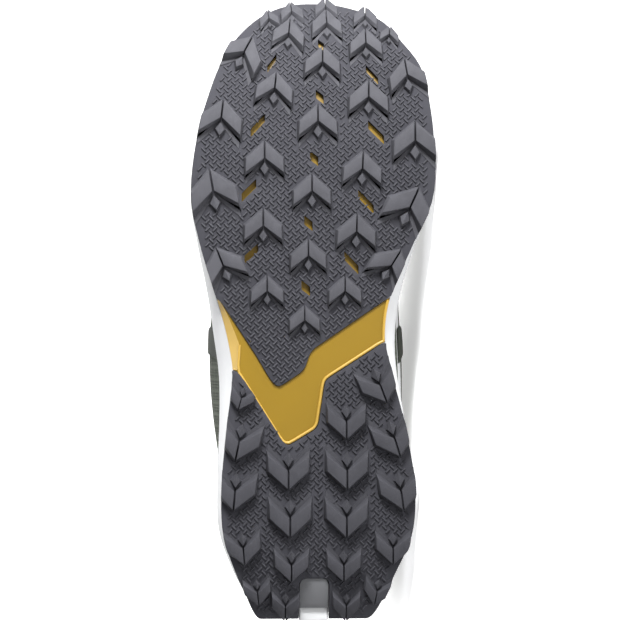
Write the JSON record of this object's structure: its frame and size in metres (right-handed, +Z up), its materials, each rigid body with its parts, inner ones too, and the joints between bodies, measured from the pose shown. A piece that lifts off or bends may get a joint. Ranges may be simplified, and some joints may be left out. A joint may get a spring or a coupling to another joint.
{
  "type": "trekking boot",
  "caption": "Mid-height right trekking boot lying on its inner side: lugged two-part outsole, shank plate, thick midsole, hollow padded upper, laced tongue and heel pull loop.",
  "frame": {"origin": "middle of the base of the box around the boot as it lies on its inner side", "axes": "+X along the boot towards the toe, +Y from the tread towards the collar, +Z up, away from the floor and towards the boot's outer side"},
  "size_m": [0.3138, 0.1758, 0.1212],
  "materials": {
    "outsole_rubber": "matt dark grey moulded rubber",
    "plate_plastic": "satin ochre-gold moulded plastic",
    "midsole_foam": "off-white moulded foam with a fine skin",
    "lining_textile": "dark grey-green brushed lining",
    "upper_fabric": "grey-green woven fabric",
    "overlay_film": "dark matt welded film",
    "lace_polyester": "dark round braided polyester",
    "eyelet_metal": "dark satin painted metal"
  },
  "bodies": {
    "root": {"outsole_forefoot": "outsole_rubber", "outsole_heel": "outsole_rubber", "shank_plate": "plate_plastic", "midsole": "midsole_foam", "insole": "lining_textile", "upper": "upper_fabric", "tongue": "upper_fabric", "toe_cap": "overlay_film", "heel_counter": "overlay_film", "eyestay": "overlay_film", "lace": "lace_polyester", "pull_loop": "lace_polyester", "eyelet_lateral_1": "eyelet_metal", "eyelet_lateral_2": "eyelet_metal", "eyelet_lateral_3": "eyelet_metal", "eyelet_lateral_4": "eyelet_metal", "eyelet_lateral_5": "eyelet_metal", "eyelet_lateral_6": "eyelet_metal", "eyelet_medial_1": "eyelet_metal", "eyelet_medial_2": "eyelet_metal", "eyelet_medial_3": "eyelet_metal", "eyelet_medial_4": "eyelet_metal", "eyelet_medial_5": "eyelet_metal", "eyelet_medial_6": "eyelet_metal"}
  },
  "joints": []
}
